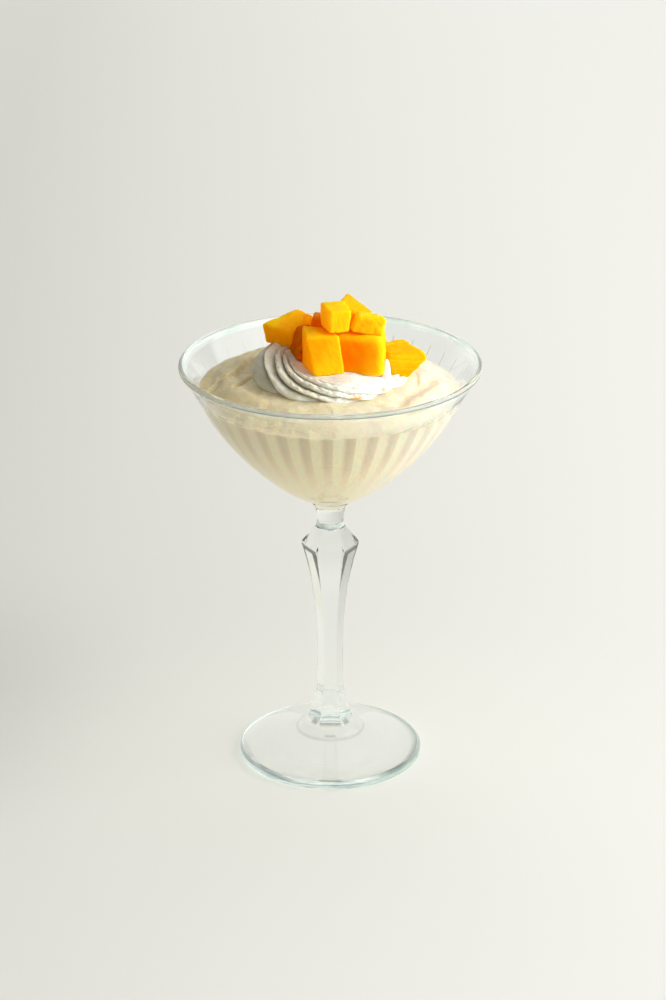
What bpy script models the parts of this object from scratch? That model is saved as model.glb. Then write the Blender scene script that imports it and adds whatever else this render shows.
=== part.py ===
"""Mango mousse in a stemmed coupe glass, with a piped cream rosette and a pile of mango cubes.

Blender 4.5, metres, +Z up. The origin is the centre of the foot's underside, on the surface the glass stands on.
Each separate piece is one object: the glass, the mousse, the cream rosette and every cube of mango.
"""

import math

import bmesh
import bpy
from mathutils import Matrix, Vector

MM = 0.001

# ---------------------------------------------------------------- glass, mm
GLASS_H = 150.0  # height of the rim above the table
RIM_R = 52.5  # outer radius of the rim
WALL = 2.0  # wall of the bowl, square to the axis
RIM_BEAD = 1.15  # half the height of the fire-polished rim
BOWL_SEGMENTS = 72  # two to each flute
FLUTES = 36  # moulded inside the bowl
FLUTE_DEPTH = 0.45
FLUTE_TOP = 144.5  # the flutes run out here, under a plain band
FLUTE_FOOT = 107.4  # and here, above the bowl's bottom
FLUTE_TURN = math.radians(1.4)  # one crease lies this far round from the front
BOWL_BOTTOM = 102.0  # inside, on the axis
# outer radius of the bowl at each height, from the collar up to the rim
BOWL_STATIONS = ((98.4, 6.7), (99.6, 9.0), (101.5, 12.4), (105.0, 17.9), (110.0, 24.0), (116.0, 30.2), (123.0, 36.4), (131.0, 42.0), (140.0, 46.9), (147.6, 51.4))

# stem: corner radius at each height, and how far the section is a hexagon rather than round
STEM_SEGMENTS = 24
STEM_STATIONS = (
    (95.6, 5.2, 0.0),
    (93.6, 4.75, 0.0),
    (90.6, 4.45, 0.0),
    (89.0, 5.0, 0.55),
    (86.0, 7.0, 0.95),
    (82.6, 9.95, 1.0),
    (81.6, 10.05, 1.0),
    (79.4, 9.45, 1.0),
    (74.4, 8.1, 1.0),
    (68.0, 6.85, 1.0),
    (60.0, 5.7, 1.0),
    (50.0, 4.85, 1.0),
    (38.0, 4.6, 1.0),
    (28.0, 4.75, 1.0),
    (21.0, 5.75, 1.0),
    (16.6, 7.0, 1.0),
    (13.9, 8.2, 0.9),
)
# foot, top side: the stem's round flare, a small ridge round it, then a low cone out to the edge
FOOT_R = 32.9
FOOT_SEGMENTS = 48
FOOT_STATIONS = ((12.4, 9.5), (11.2, 10.8), (10.2, 11.7), (9.5, 12.15), (8.8, 13.8), (7.3, 18.7), (5.2, 25.6), (3.7, 30.2))
FOOT_EDGE = 3.4  # thickness of the rounded edge
FOOT_LAND = 2.2  # width of the flat ring that it stands on
FOOT_HOLLOW = 3.0  # rise of the underside at the axis

# ---------------------------------------------------------------- food, mm
GAP = 0.3  # between pieces that touch
FILL_Z = 140.0  # level of the mousse where it meets the glass
MOUSSE_RISE = 3.5  # it mounds up towards the cream
CREAM_BASE_Z = 143.8
CREAM_BASE_R = 24.2
CREAM_RING_R = 14.6  # centre line of the piped ring
CREAM_H = 9.4  # height of the ring's crown, on average
CREAM_LOPSIDED = 1.7  # the crown stands this much higher on one side, and lower on the other
CREAM_HIGH_SIDE = math.radians(140)
CREAM_RIDGES = 18
CREAM_TWIST = math.radians(78)  # how far round a ridge runs from the crown to the hem
CREAM_RIDGE_DEPTH = 1.5


def smooth(t):
    t = min(1.0, max(0.0, t))
    return t * t * (3 - 2 * t)


def monotone(points, x):
    """A smooth curve through (x, y) points with no overshoot, as a turned profile needs."""
    xs = [p[0] for p in points]
    ys = [p[1] for p in points]
    n = len(xs)
    h = [xs[i + 1] - xs[i] for i in range(n - 1)]
    d = [(ys[i + 1] - ys[i]) / h[i] for i in range(n - 1)]
    m = [d[0]] + [0.0] * (n - 2) + [d[-1]]
    for i in range(1, n - 1):
        if d[i - 1] * d[i] > 0:
            w1, w2 = 2 * h[i] + h[i - 1], h[i] + 2 * h[i - 1]
            m[i] = (w1 + w2) / (w1 / d[i - 1] + w2 / d[i])
    x = min(max(x, xs[0]), xs[-1])
    i = max(k for k in range(n - 1) if xs[k] <= x)
    t = (x - xs[i]) / h[i]
    return (
        (2 * t**3 - 3 * t**2 + 1) * ys[i]
        + (t**3 - 2 * t**2 + t) * h[i] * m[i]
        + (-2 * t**3 + 3 * t**2) * ys[i + 1]
        + (t**3 - t**2) * h[i] * m[i + 1]
    )


def bowl_outer(z):
    return monotone(BOWL_STATIONS, z)


def wall_at(z):
    """The wall thickens towards the bottom, where the bowl is drawn out of the stem."""
    return WALL + 2.2 * (1 - smooth((z - BOWL_BOTTOM) / 14.0))


def bowl_inner(z):
    """Inner radius of the bowl between the flutes' creases, square to the axis."""
    top = bowl_outer(z) - wall_at(z)
    return max(0.0, top * smooth((z - BOWL_BOTTOM + 0.9) / 3.4) ** 0.5)


def flute(z):
    """Depth of the flutes at this height: full in the middle, running out at both ends."""
    return FLUTE_DEPTH * smooth((FLUTE_TOP - z) / 3.0) * smooth((z - FLUTE_FOOT) / 3.0)


# ---------------------------------------------------------------- meshes
def clear_scene():
    for obj in list(bpy.data.objects):
        bpy.data.objects.remove(obj, do_unlink=True)


def material(name, colour, roughness, alpha=1.0, transmission=0.0):
    mat = bpy.data.materials.new(name)
    mat.use_nodes = True
    bsdf = mat.node_tree.nodes["Principled BSDF"]
    bsdf.inputs["Base Color"].default_value = (*colour, 1.0)
    bsdf.inputs["Roughness"].default_value = roughness
    bsdf.inputs["Metallic"].default_value = 0.0
    bsdf.inputs["IOR"].default_value = 1.5 if transmission else 1.4
    bsdf.inputs["Transmission Weight"].default_value = transmission
    bsdf.inputs["Alpha"].default_value = alpha
    return mat


def ring(bm, radius, z, segments, turn=0.0):
    """A ring of vertices. radius and z are numbers or functions of the angle."""
    verts = []
    for k in range(segments):
        a = turn + 2 * math.pi * k / segments
        r = radius(a) if callable(radius) else radius
        h = z(a) if callable(z) else z
        verts.append(bm.verts.new((r * math.cos(a) * MM, r * math.sin(a) * MM, h * MM)))
    return verts


def bridge(bm, upper, lower):
    """Faces between two rings, facing away from the axis when upper lies above lower. One ring may have a whole multiple of the other's vertices."""
    a, b = len(upper), len(lower)
    if a == b:
        for k in range(a):
            j = (k + 1) % a
            bm.faces.new((upper[k], lower[k], lower[j], upper[j]))
    elif a > b:
        step = a // b
        for k in range(b):
            for s in range(step):
                i, j = k * step + s, (k * step + s + 1) % a
                bm.faces.new((upper[i], lower[k], upper[j]))
            bm.faces.new((upper[(k + 1) * step % a], lower[k], lower[(k + 1) % b]))
    else:
        step = b // a
        for k in range(a):
            for s in range(step):
                i, j = k * step + s, (k * step + s + 1) % b
                bm.faces.new((upper[k], lower[i], lower[j]))
            bm.faces.new((upper[k], lower[(k + 1) * step % b], upper[(k + 1) % a]))


def cap(bm, verts, z, up):
    centre = bm.verts.new((0, 0, z * MM))
    n = len(verts)
    for k in range(n):
        j = (k + 1) % n
        bm.faces.new((verts[k], verts[j], centre) if up else (verts[j], verts[k], centre))


def finish(bm, name, mat, smooth_angle=35):
    bmesh.ops.recalc_face_normals(bm, faces=bm.faces[:])
    if bm.calc_volume(signed=True) < 0:
        bmesh.ops.reverse_faces(bm, faces=bm.faces[:])
    mesh = bpy.data.meshes.new(name)
    bm.to_mesh(mesh)
    bm.free()
    mesh.materials.append(mat)
    mesh.shade_smooth()
    mesh.set_sharp_from_angle(angle=math.radians(smooth_angle))
    obj = bpy.data.objects.new(name, mesh)
    bpy.context.scene.collection.objects.link(obj)
    return obj


def stem_section(corner, hexness):
    """Radius of the stem's section by angle: a hexagon with a flat to the front, blended with a circle."""

    def radius(a):
        inside = (a + math.pi / 6) % (math.pi / 3) - math.pi / 6
        hexagon = corner * math.cos(math.pi / 6) / math.cos(math.pi / 6 - abs(inside))
        return corner * (1 - 0.06 * hexness) * (1 - hexness) + hexagon * hexness

    return radius


def flute_phase(a):
    """Whole number of half flutes from the front crease to this angle."""
    return round((a + math.pi / 2 - FLUTE_TURN) / (2 * math.pi / BOWL_SEGMENTS))


def inner_radius(z):
    depth = flute(z)

    def radius(a):
        return bowl_inner(z) - (depth if flute_phase(a) % 2 else 0.0)

    return radius


INNER_HEIGHTS = (147.4, 144.5, 141.5, 135.5, 128.0, 119.5, 111.0, 107.4, 103.8)


def make_glass(mat):
    bm = bmesh.new()
    turn = FLUTE_TURN - math.pi / 2
    rings = []
    # inside, from the bottom up
    for z in reversed(INNER_HEIGHTS):
        rings.append(ring(bm, inner_radius(z), z, BOWL_SEGMENTS, turn))
    cap(bm, rings[0], BOWL_BOTTOM, True)
    # the rounded rim
    middle = RIM_R - WALL / 2
    for degrees in (145, 90, 40, 0):
        a = math.radians(degrees)
        rings.append(ring(bm, middle + WALL / 2 * math.cos(a), GLASS_H - RIM_BEAD + RIM_BEAD * math.sin(a), BOWL_SEGMENTS, turn))
    # outside, down to the collar
    for z in (147.6, 141.5, 134.5, 127.0, 119.0, 112.0, 106.5, 102.5, 100.0, 98.4):
        rings.append(ring(bm, bowl_outer(z), z, BOWL_SEGMENTS, turn))
    for upper, lower in zip(rings[1:], rings):
        bridge(bm, upper, lower)
    # collar, neck, knop and stem
    stem = [ring(bm, stem_section(r, h), z, STEM_SEGMENTS, -math.pi / 2) for z, r, h in STEM_STATIONS]
    bridge(bm, rings[-1], stem[0])
    for upper, lower in zip(stem, stem[1:]):
        bridge(bm, upper, lower)
    # foot
    foot = [ring(bm, r, z, 24 if r < 16 else FOOT_SEGMENTS, -math.pi / 2) for z, r in FOOT_STATIONS]
    half = FOOT_EDGE / 2
    for k in range(5):
        a = math.radians(72 - 36 * k)
        foot.append(ring(bm, FOOT_R - half + half * math.cos(a), half + half * math.sin(a), FOOT_SEGMENTS, -math.pi / 2))
    land = FOOT_R - half * 1.1
    foot.append(ring(bm, land, 0.0, FOOT_SEGMENTS, -math.pi / 2))
    foot.append(ring(bm, land - FOOT_LAND, 0.0, FOOT_SEGMENTS, -math.pi / 2))
    for share in (0.6, 0.3):
        foot.append(ring(bm, land * share, FOOT_HOLLOW * (1 - share**2), 24, -math.pi / 2))
    bridge(bm, stem[-1], foot[0])
    for upper, lower in zip(foot, foot[1:]):
        bridge(bm, upper, lower)
    cap(bm, foot[-1], FOOT_HOLLOW, False)
    return finish(bm, "glass", mat)


def mousse_top(r, a):
    """Height of the mousse: level under the cream, spooned into soft folds round it, and lower where it meets the glass."""
    edge = bowl_inner(FILL_Z)
    wall_z = FILL_Z + 0.9 * math.cos(a - math.radians(135)) * smooth((r - 26) / 14)
    rise = MOUSSE_RISE * smooth((edge - r) / 9.0)
    waves = 0.32 * math.sin(3 * a + 0.24 * r) + 0.22 * math.sin(7 * a - 0.5 * r)
    return wall_z + rise + waves * smooth((r - 25) / 5) * smooth((edge - r) / 5)


def make_mousse(mat):
    bm = bmesh.new()
    turn = FLUTE_TURN - math.pi / 2
    rings = []
    edge = bowl_inner(FILL_Z) - GAP

    def rim_radius(a):
        return inner_radius(mousse_top(edge, a))(a) - GAP * 1.15

    for radius, segments in ((6.0, 12), (22.0, 24), (28.0, 72), (32.5, 72), (37.0, 72), (41.2, 72)):
        rings.append(ring(bm, radius, lambda a, r=radius: mousse_top(r, a), segments, turn))
    rings.append(ring(bm, rim_radius, lambda a: mousse_top(edge, a), 72, turn))
    for z in INNER_HEIGHTS[3:]:
        rings.append(ring(bm, lambda a, z=z: inner_radius(z)(a) - GAP * 1.15, z, 72, turn))
    cap(bm, rings[0], mousse_top(0, 0), True)
    for upper, lower in zip(rings, rings[1:]):
        bridge(bm, upper, lower)
    cap(bm, rings[-1], BOWL_BOTTOM + GAP * 2, False)
    return finish(bm, "mousse", mat)


def cream_profile(s, a):
    """The rosette's side at one angle, from the middle of its crown at s = 0 to its hem at s = 1: (radius, height above its base)."""
    crown = CREAM_H + CREAM_LOPSIDED * math.cos(a - CREAM_HIGH_SIDE) * smooth(s / 0.3)
    if s < 0.3:  # the hollow inside the ring
        t = s / 0.3
        return CREAM_RING_R * 0.92 * t, crown * (0.8 + 0.2 * smooth(t))
    t = (s - 0.3) / 0.7 * math.radians(118)
    reach = CREAM_BASE_R + 2.2 - CREAM_RING_R * 0.92
    r = CREAM_RING_R * 0.92 + reach * math.sin(t)
    h = crown * 0.34 + crown * 0.66 * math.cos(t)
    return r, max(0.0, h)


CREAM_STEPS = 11


def make_cream(mat):
    bm = bmesh.new()
    count = CREAM_RIDGES * 2
    rings = []
    for k in range(1, CREAM_STEPS + 1):
        s = k / CREAM_STEPS
        depth = CREAM_RIDGE_DEPTH * smooth((s - 0.12) / 0.3) * smooth((1.04 - s) / 0.22)
        verts = []
        for j in range(count):
            a = 2 * math.pi * j / count + CREAM_TWIST * s
            r, h = cream_profile(s, a)
            swell = 0.7 * math.sin(a * 2 + 0.6) + 0.5 * math.sin(a * 5 + 1.0)
            out = (depth if j % 2 == 0 else -depth) * 0.55 + swell * smooth(s / 0.5)
            rr = r + out
            verts.append(bm.verts.new((rr * math.cos(a) * MM, rr * math.sin(a) * MM, (CREAM_BASE_Z + h + 0.25 * out * (1 - s) * smooth(h / 3)) * MM)))
        rings.append(verts)
    cap(bm, rings[0], CREAM_BASE_Z + cream_profile(0, 0)[1], True)
    for upper, lower in zip(rings, rings[1:]):
        bridge(bm, upper, lower)
    base = [bm.verts.new((v.co.x * 0.93, v.co.y * 0.93, CREAM_BASE_Z * MM)) for v in rings[-1]]
    bridge(bm, rings[-1], base)
    cap(bm, base, CREAM_BASE_Z, False)
    return finish(bm, "cream", mat, 50)


# Mango cubes: centre, size along their own axes, turn about X, Y and Z in degrees, and how uneven the knife left them: the
# top's spread along X and Y beyond the middle's, then its shift along X and Y, as shares of the half sizes and the half height.
# A cube gives way to those above it in the list where they press together.
CUBES = {
    "mango_front": ((-2.7, -8.4, 156.4), (10.8, 10.4, 13.8), (-2, 3, 18), (-0.08, -0.12), (-0.08, 0.02)),
    "mango_front_right": ((10.9, -6.0, 155.2), (15.4, 10.4, 13.6), (-8, 0, -10), (0.04, 0.0), (-0.10, -0.02)),
    "mango_top_front": ((1.7, -6.6, 168.2), (8.6, 8.8, 8.1), (1, 1, 16), (0.06, 0.04), (0.0, -0.02)),
    "mango_top_right": ((13.2, -3.4, 164.8), (10.8, 9.0, 6.6), (-9, 11, 1), (-0.08, 0.0), (0.06, -0.02)),
    "mango_right": ((23.6, 4.9, 148.6), (9.6, 9.7, 8.2), (11, 5, 21), (0.26, 0.05), (0.06, 0.31)),
    "mango_left": ((-14.1, 9.6, 158.1), (11.8, 12.85, 6.7), (17, -3, -39), (0.016, -0.06), (0.09, 0.02)),
    "mango_front_left": ((-9.3, -0.8, 157.4), (6.4, 9.0, 11.4), (0, 12, 19), (-0.08, -0.12), (-0.04, 0.0)),
    "mango_top_left": ((-2.9, -0.2, 164.3), (7.2, 7.0, 5.2), (-5, 8, -6), (-0.04, 0.10), (0.04, -0.02)),
    "mango_top_back": ((7.1, 3.4, 165.6), (10.8, 9.6, 8.2), (1, 33, -16), (0.04, 0.0), (0.02, 0.0)),
    "mango_back": ((0.6, 10.8, 154.9), (11.0, 10.2, 10.4), (0, 4, 10), (-0.04, -0.04), (0.02, 0.02)),
    "mango_back_right": ((13.0, 9.0, 154.0), (10.6, 10.6, 9.8), (6, -5, -20), (-0.05, 0.0), (0.0, 0.02)),
}
CUBE_EDGE = 0.7  # rounding of the cut edges


def make_cube(name, mat, grow=0.0):
    """One cube of mango. Grown by the gap on every side and left sharp, it is the tool that cuts its neighbours."""
    centre, size, turns, spread, lean = CUBES[name]
    half = [side / 2 + grow for side in size]
    bm = bmesh.new()
    bmesh.ops.create_cube(bm, size=2.0)
    for v in bm.verts:
        x, y, z = v.co
        v.co = (
            half[0] * x * (1 + spread[0] * z) + lean[0] * half[2] * z,
            half[1] * y * (1 + spread[1] * z) + lean[1] * half[2] * z,
            half[2] * z,
        )
    if not grow:
        bmesh.ops.bevel(bm, geom=bm.edges[:], offset=CUBE_EDGE, segments=2, profile=0.5, affect="EDGES")
    turn = Matrix.Rotation(math.radians(turns[2]), 4, "Z") @ Matrix.Rotation(math.radians(turns[1]), 4, "Y") @ Matrix.Rotation(math.radians(turns[0]), 4, "X")
    bmesh.ops.transform(bm, matrix=Matrix.Scale(MM, 4) @ Matrix.Translation(Vector(centre)) @ turn, verts=bm.verts[:])
    bmesh.ops.triangulate(bm, faces=bm.faces[:])
    return finish(bm, name, mat, 30)


def cut_by(obj, cutter):
    cutter.hide_render = True
    cutter.display_type = "WIRE"
    cut = obj.modifiers.new("cut_" + cutter.name, "BOOLEAN")
    cut.operation = "DIFFERENCE"
    cut.solver = "EXACT"
    cut.object = cutter


def boxes_meet(a, b):
    lo_a, hi_a = Vector(map(min, *[v.co for v in a.data.vertices])), Vector(map(max, *[v.co for v in a.data.vertices]))
    lo_b, hi_b = Vector(map(min, *[v.co for v in b.data.vertices])), Vector(map(max, *[v.co for v in b.data.vertices]))
    return all(lo_a[i] < hi_b[i] and lo_b[i] < hi_a[i] for i in range(3))


def main():
    clear_scene()
    glass_mat = material("glass", (0.93, 0.97, 0.95), 0.02, transmission=1.0)
    mousse_mat = material("mousse", (0.86, 0.76, 0.52), 0.5)
    cream_mat = material("cream", (0.93, 0.91, 0.86), 0.5)
    mango_mat = material("mango", (0.95, 0.42, 0.01), 0.35)

    make_glass(glass_mat)
    mousse = make_mousse(mousse_mat)
    cream = make_cream(cream_mat)
    names = list(CUBES)
    cubes, cutters = {}, {}
    for name in names:
        cubes[name] = make_cube(name, mango_mat)
        cutters[name] = make_cube(name, mango_mat, grow=GAP)
        cutters[name].name = "cutter_" + name
        cutters[name].hide_render = True
        cutters[name].display_type = "WIRE"
        cubes[name].name = name
    for i, name in enumerate(names):
        for earlier in names[:i]:
            if boxes_meet(cubes[name], cutters[earlier]):
                cut_by(cubes[name], cutters[earlier])
        for food in (cream, mousse):
            if boxes_meet(food, cutters[name]):
                cut_by(food, cutters[name])


main()
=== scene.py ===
"""Mango mousse in a stemmed coupe glass: the looks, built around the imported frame."""

import math
import random

import bmesh
import bpy
import numpy as np
from mathutils import Matrix, Vector, noise


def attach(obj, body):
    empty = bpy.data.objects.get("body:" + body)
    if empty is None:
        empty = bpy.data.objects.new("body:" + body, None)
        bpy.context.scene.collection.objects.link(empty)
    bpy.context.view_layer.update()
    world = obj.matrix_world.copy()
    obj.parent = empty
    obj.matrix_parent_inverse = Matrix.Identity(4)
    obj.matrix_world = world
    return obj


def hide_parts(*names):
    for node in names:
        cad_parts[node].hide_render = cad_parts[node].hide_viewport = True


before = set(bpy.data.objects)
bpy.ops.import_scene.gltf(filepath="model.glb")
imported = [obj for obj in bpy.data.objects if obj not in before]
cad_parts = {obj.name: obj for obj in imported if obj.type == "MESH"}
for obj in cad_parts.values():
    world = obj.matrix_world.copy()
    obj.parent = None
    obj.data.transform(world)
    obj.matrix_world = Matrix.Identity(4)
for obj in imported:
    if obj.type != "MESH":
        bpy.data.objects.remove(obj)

MM = 0.001

# ------------------------------------------------------------------ glass, mm
GLASS_H = 150.0
RIM_R = 52.5
WALL = 2.0
RIM_BEAD = 1.15
FLUTES = 36
FLUTE_DEPTH = 0.45
FLUTE_TOP = 141.6
FLUTE_FOOT = 107.6
FLUTE_TURN = math.radians(1.4)
BOWL_BOTTOM = 102.0
BOWL_STATIONS = ((98.4, 6.7), (99.6, 9.0), (101.5, 12.4), (105.0, 17.9), (110.0, 24.0), (116.0, 30.2), (123.0, 36.4), (131.0, 42.0), (140.0, 46.9), (147.6, 51.4))
FOOT_R = 32.9
FOOT_EDGE = 3.4
FOOT_LAND = 2.2
FOOT_HOLLOW = 3.0

FILL_Z = 140.0
MOUSSE_RISE = 3.5
CREAM_BASE_Z = 143.8


def smooth(t):
    t = min(1.0, max(0.0, t))
    return t * t * (3 - 2 * t)


def mix(a, b, t):
    return a + (b - a) * t


def monotone(points, x):
    xs = [p[0] for p in points]
    ys = [p[1] for p in points]
    n = len(xs)
    h = [xs[i + 1] - xs[i] for i in range(n - 1)]
    d = [(ys[i + 1] - ys[i]) / h[i] for i in range(n - 1)]
    m = [d[0]] + [0.0] * (n - 2) + [d[-1]]
    for i in range(1, n - 1):
        if d[i - 1] * d[i] > 0:
            w1, w2 = 2 * h[i] + h[i - 1], h[i] + 2 * h[i - 1]
            m[i] = (w1 + w2) / (w1 / d[i - 1] + w2 / d[i])
    x = min(max(x, xs[0]), xs[-1])
    i = max(k for k in range(n - 1) if xs[k] <= x)
    t = (x - xs[i]) / h[i]
    return (2 * t**3 - 3 * t**2 + 1) * ys[i] + (t**3 - 2 * t**2 + t) * h[i] * m[i] + (-2 * t**3 + 3 * t**2) * ys[i + 1] + (t**3 - t**2) * h[i] * m[i + 1]


def bowl_outer(z):
    return monotone(BOWL_STATIONS, z)


def wall_at(z):
    return WALL + 2.2 * (1 - smooth((z - BOWL_BOTTOM) / 14.0))


def bowl_inner(z):
    top = bowl_outer(z) - wall_at(z)
    return max(0.0, top * smooth((z - BOWL_BOTTOM + 0.9) / 3.4) ** 0.5)


def flute_depth(z):
    return FLUTE_DEPTH * smooth((FLUTE_TOP - z) / 5.0) * smooth((z - FLUTE_FOOT) / 2.6) * (0.3 + 0.7 * smooth((z - 110.0) / 22.0))


# angles round the bowl, closer together at the flutes' creases
FLUTE_STEPS = (0.0, 0.05, 0.14, 0.26, 0.38, 0.5, 0.62, 0.74, 0.86, 0.95)
PER_FLUTE = len(FLUTE_STEPS)
AROUND = FLUTES * PER_FLUTE
ANGLES = [(-math.pi / 2 + FLUTE_TURN) + 2 * math.pi * (k + s) / FLUTES for k in range(FLUTES) for s in FLUTE_STEPS]
SCALLOP = [0.55 * (1 - abs(2 * s - 1)) + 0.45 * 4 * s * (1 - s) for _ in range(FLUTES) for s in FLUTE_STEPS]


def wall_radius(z, k):
    """Inner wall of the bowl at station k round it: the flutes bulge inwards between sharp creases."""
    return bowl_inner(z) - flute_depth(z) * SCALLOP[k]


# ------------------------------------------------------------------ mesh helpers
def grid_mesh(name, rings, cap_first=None, cap_last=None, flip=False):
    """A closed or open skin from rings of equal length. Caps are single middle points."""
    n = len(rings[0])
    verts = [p for r in rings for p in r]
    faces = []
    for i in range(len(rings) - 1):
        a, b = i * n, (i + 1) * n
        for k in range(n):
            j = (k + 1) % n
            faces.append((a + k, b + k, b + j, a + j))
    if cap_first is not None:
        c = len(verts)
        verts.append(cap_first)
        faces += [(c, k, (k + 1) % n) for k in range(n)]
    if cap_last is not None:
        c = len(verts)
        verts.append(cap_last)
        a = (len(rings) - 1) * n
        faces += [(c, a + (k + 1) % n, a + k) for k in range(n)]
    if flip:
        faces = [tuple(reversed(f)) for f in faces]
    mesh = bpy.data.meshes.new(name)
    mesh.from_pydata([(x * MM, y * MM, z * MM) for x, y, z in verts], [], faces)
    mesh.update()
    obj = bpy.data.objects.new(name, mesh)
    bpy.context.scene.collection.objects.link(obj)
    return obj


def outward(obj):
    bm = bmesh.new()
    bm.from_mesh(obj.data)
    bmesh.ops.recalc_face_normals(bm, faces=bm.faces[:])
    if bm.calc_volume(signed=True) < 0:
        bmesh.ops.reverse_faces(bm, faces=bm.faces[:])
    bm.to_mesh(obj.data)
    bm.free()


def shade(obj, angle=None):
    obj.data.shade_smooth()
    if angle:
        obj.data.set_sharp_from_angle(angle=math.radians(angle))


def fbm(p, scale, octaves=4, seed=0.0, gain=0.5):
    """Smooth noise about zero at a point in mm."""
    total, amp, f = 0.0, 1.0, 1.0 / scale
    for o in range(octaves):
        total += amp * noise.noise(Vector((p[0] * f + seed, p[1] * f - seed * 1.7, p[2] * f + seed * 0.6 + o * 11.3)))
        amp *= gain
        f *= 2.03
    return total


# ------------------------------------------------------------------ materials
def new_material(name):
    mat = bpy.data.materials.new(name)
    mat.use_nodes = True
    nt = mat.node_tree
    nt.nodes.clear()
    out = nt.nodes.new("ShaderNodeOutputMaterial")
    bsdf = nt.nodes.new("ShaderNodeBsdfPrincipled")
    nt.links.new(bsdf.outputs[0], out.inputs["Surface"])
    return mat, nt, bsdf, out


def coords(nt):
    return nt.nodes.new("ShaderNodeTexCoord").outputs["Object"]


def noise_tex(nt, vec, scale, detail=4.0, rough=0.55, distort=0.0):
    n = nt.nodes.new("ShaderNodeTexNoise")
    n.inputs["Scale"].default_value = scale
    n.inputs["Detail"].default_value = detail
    n.inputs["Roughness"].default_value = rough
    n.inputs["Distortion"].default_value = distort
    nt.links.new(vec, n.inputs["Vector"])
    return n.outputs["Fac"]


def ramp(nt, fac, stops):
    r = nt.nodes.new("ShaderNodeValToRGB")
    el = r.color_ramp.elements
    while len(el) < len(stops):
        el.new(0.5)
    for e, (p, c) in zip(el, stops):
        e.position = p
        e.color = c if len(c) == 4 else (*c, 1.0)
    nt.links.new(fac, r.inputs["Fac"])
    return r.outputs["Color"]


def map_range(nt, fac, a, b, c, d):
    m = nt.nodes.new("ShaderNodeMapRange")
    m.inputs["From Min"].default_value = a
    m.inputs["From Max"].default_value = b
    m.inputs["To Min"].default_value = c
    m.inputs["To Max"].default_value = d
    nt.links.new(fac, m.inputs["Value"])
    return m.outputs["Result"]


def math_node(nt, op, a, b=None):
    m = nt.nodes.new("ShaderNodeMath")
    m.operation = op
    for i, v in enumerate((a, b)):
        if v is None:
            continue
        if isinstance(v, (int, float)):
            m.inputs[i].default_value = v
        else:
            nt.links.new(v, m.inputs[i])
    return m.outputs[0]


def mix_colour(nt, fac, a, b, mode="MIX"):
    m = nt.nodes.new("ShaderNodeMix")
    m.data_type = "RGBA"
    m.blend_type = mode
    for name, v in (("Factor", fac), ("A", a), ("B", b)):
        socket = next(s for s in m.inputs if s.name == name and (s.type == "RGBA" if name != "Factor" else s.type == "VALUE"))
        if isinstance(v, (int, float)):
            socket.default_value = v
        elif isinstance(v, tuple):
            socket.default_value = v if len(v) == 4 else (*v, 1.0)
        else:
            nt.links.new(v, socket)
    return next(s for s in m.outputs if s.type == "RGBA")


def bump(nt, bsdf, height, strength, distance, normal=None):
    b = nt.nodes.new("ShaderNodeBump")
    b.inputs["Strength"].default_value = strength
    b.inputs["Distance"].default_value = distance
    nt.links.new(height, b.inputs["Height"])
    if normal is not None:
        nt.links.new(normal, b.inputs["Normal"])
    nt.links.new(b.outputs["Normal"], bsdf.inputs["Normal"])
    return b.outputs["Normal"]


def glass_material(name="clear_glass", frost=0.0, painted_glow=0.0, rough=0.0, ior=1.51, streaks=None, left=0.0):
    """Clear glass. With some frost, the thick edges where the light is caught and scattered pale green; an emission, a
    painted light, lights them up, and with left it is stronger towards the left side.
    """
    mat, nt, bsdf, out = new_material(name)
    # the tint attribute carries the glass's faint green with its painted reflections and painted shade
    colour_and_painted_shade = nt.nodes.new("ShaderNodeAttribute")
    colour_and_painted_shade.attribute_name = "tint"
    if streaks:
        turn = nt.nodes.new("ShaderNodeMapping")
        turn.inputs["Scale"].default_value = (1.0, 1.0, 6.0)
        nt.links.new(coords(nt), turn.inputs["Vector"])
        streak = noise_tex(nt, turn.outputs["Vector"], 75.0, 3.0, 0.6)
        green = ramp(nt, streak, [(p, c) for p, c in zip((0.36, 0.5, 0.66), streaks)])
        nt.links.new(mix_colour(nt, 1.0, green, colour_and_painted_shade.outputs["Color"], "MULTIPLY"), bsdf.inputs["Base Color"])
    else:
        nt.links.new(colour_and_painted_shade.outputs["Color"], bsdf.inputs["Base Color"])
    bsdf.inputs["Roughness"].default_value = rough
    bsdf.inputs["IOR"].default_value = ior
    bsdf.inputs["Transmission Weight"].default_value = 1.0 - frost
    # painted light: an emission on the frosted edges, the rim and the collar
    bsdf.inputs["Emission Color"].default_value = (0.87, 0.97, 0.93, 1)
    bsdf.inputs["Emission Strength"].default_value = painted_glow
    # painted light: the emission is stronger towards the left side
    if left:
        side = nt.nodes.new("ShaderNodeSeparateXYZ")
        nt.links.new(coords(nt), side.inputs[0])
        nt.links.new(math_node(nt, "ADD", map_range(nt, side.outputs["X"], -0.028, -0.004, left, 0.0), painted_glow), bsdf.inputs["Emission Strength"])
    # moulding: the surface of pressed glass is never quite true
    vec = coords(nt)
    wave = noise_tex(nt, vec, 55.0, 2.0, 0.4)
    bump(nt, bsdf, wave, 0.06, 0.001)
    path = nt.nodes.new("ShaderNodeLightPath")
    clear = nt.nodes.new("ShaderNodeBsdfTransparent")
    clear.inputs["Color"].default_value = (0.86, 0.88, 0.87, 1) if streaks else (0.985, 0.99, 0.985, 1)
    mixer = nt.nodes.new("ShaderNodeMixShader")
    nt.links.new(path.outputs["Is Shadow Ray"], mixer.inputs["Fac"])
    nt.links.new(bsdf.outputs[0], mixer.inputs[1])
    nt.links.new(clear.outputs[0], mixer.inputs[2])
    nt.links.new(mixer.outputs[0], out.inputs["Surface"])
    return mat


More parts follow.
